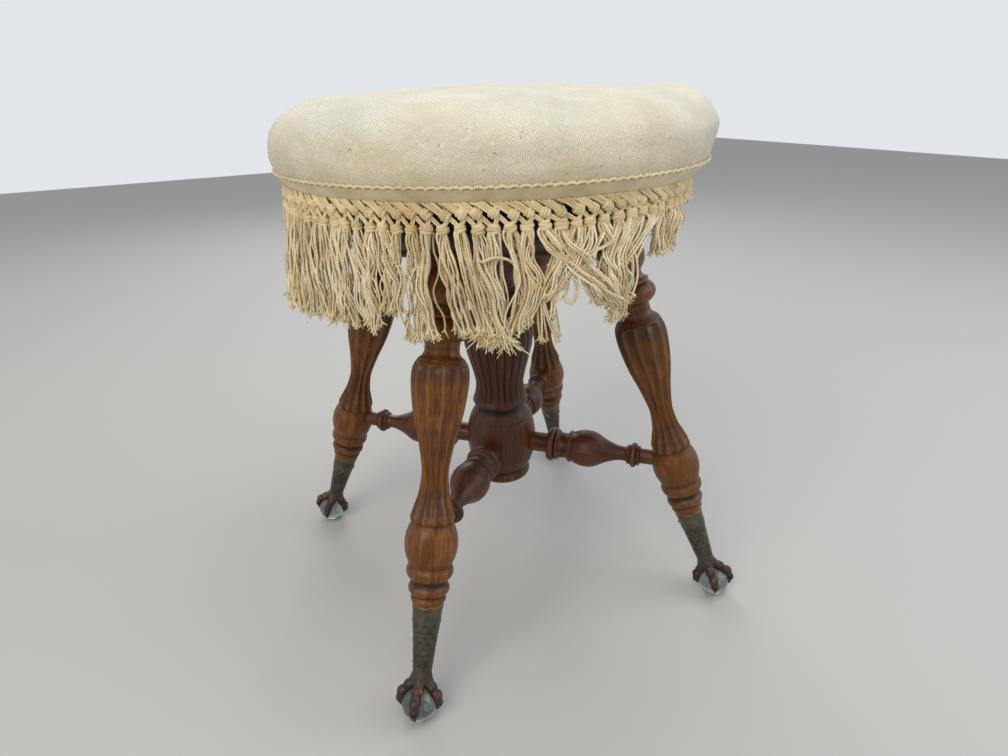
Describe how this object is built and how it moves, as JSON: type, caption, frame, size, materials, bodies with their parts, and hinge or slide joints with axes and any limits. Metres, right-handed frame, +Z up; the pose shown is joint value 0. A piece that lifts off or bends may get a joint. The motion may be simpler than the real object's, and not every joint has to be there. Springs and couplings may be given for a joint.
{
  "type": "revolving piano stool",
  "caption": "Revolving piano stool: round fringed cushion on a lift screw, turned column, fluted legs and stretchers, claw feet holding glass balls.",
  "frame": {"origin": "on the floor under the column's axis, level with the bottom of the glass balls", "axes": "+Z up along the column and the screw; the legs stand on the diagonals, leg_front towards -X -Y and leg_right towards +X -Y"},
  "size_m": [0.4008, 0.4008, 0.5245],
  "materials": {
    "leg_walnut": "worn shellac over stained hardwood",
    "column_mahogany": "worn red-brown shellac",
    "block_hardwood": "dark stain",
    "board_pine": "bare",
    "foot_cast_iron": "bronzed, worn bright on the high spots",
    "hidden_cast_iron": "black japan",
    "pin_iron": "blued iron",
    "screw_steel": "bright, dulled",
    "thread_steel": "turned, lightly oiled",
    "washer_leather": "plain",
    "clear_glass": "polished",
    "lining_cloth": "black cambric",
    "padding_wool": "felted",
    "cover_linen": "coarse natural weave",
    "tape_cotton": "ribbed braid",
    "edging_gold": "twisted gold-coloured cord",
    "fringe_cotton": "soft cotton cord"
  },
  "bodies": {
    "base": {"center_column": "column_mahogany", "top_block": "block_hardwood", "leg_front": "leg_walnut", "leg_right": "leg_walnut", "leg_back": "leg_walnut", "leg_left": "leg_walnut", "stretcher_front": "column_mahogany", "stretcher_right": "column_mahogany", "stretcher_back": "column_mahogany", "stretcher_left": "column_mahogany", "claw_foot_front": "foot_cast_iron", "claw_foot_right": "foot_cast_iron", "claw_foot_back": "foot_cast_iron", "claw_foot_left": "foot_cast_iron", "glass_ball_front": "clear_glass", "glass_ball_right": "clear_glass", "glass_ball_back": "clear_glass", "glass_ball_left": "clear_glass", "foot_pins": "pin_iron", "nut_plate": "hidden_cast_iron", "nut_plate_screws": "screw_steel"},
    "lift": {"screw_washer": "washer_leather"},
    "seat": {"seat_screw": "thread_steel", "screw_cross_pin": "screw_steel", "stop_washer": "screw_steel", "stop_pin": "screw_steel", "seat_iron": "hidden_cast_iron", "seat_iron_screws": "screw_steel", "seat_board": "board_pine", "bottom_lining": "lining_cloth", "seat_padding": "padding_wool", "cushion_cover": "cover_linen", "cover_tacks": "pin_iron", "fringe_tape": "tape_cotton", "fringe_edging": "edging_gold", "fringe_knots": "fringe_cotton", "fringe_tassels": "fringe_cotton"}
  },
  "joints": [
    {"name": "seat_lift", "type": "slide", "parent": "base", "child": "lift", "axis": [0, 0, 1], "range_m": [0, 0.09144]},
    {"name": "seat_turn", "type": "hinge", "parent": "lift", "child": "seat", "pos_m": [0, 0, 0.4346], "axis": [0, 0, 1], "range_deg": [0, 6480]}
  ],
  "couplings": [
    {"joint": "seat_lift", "follows": "seat_turn", "m_per_rad": 0.0008085}
  ]
}
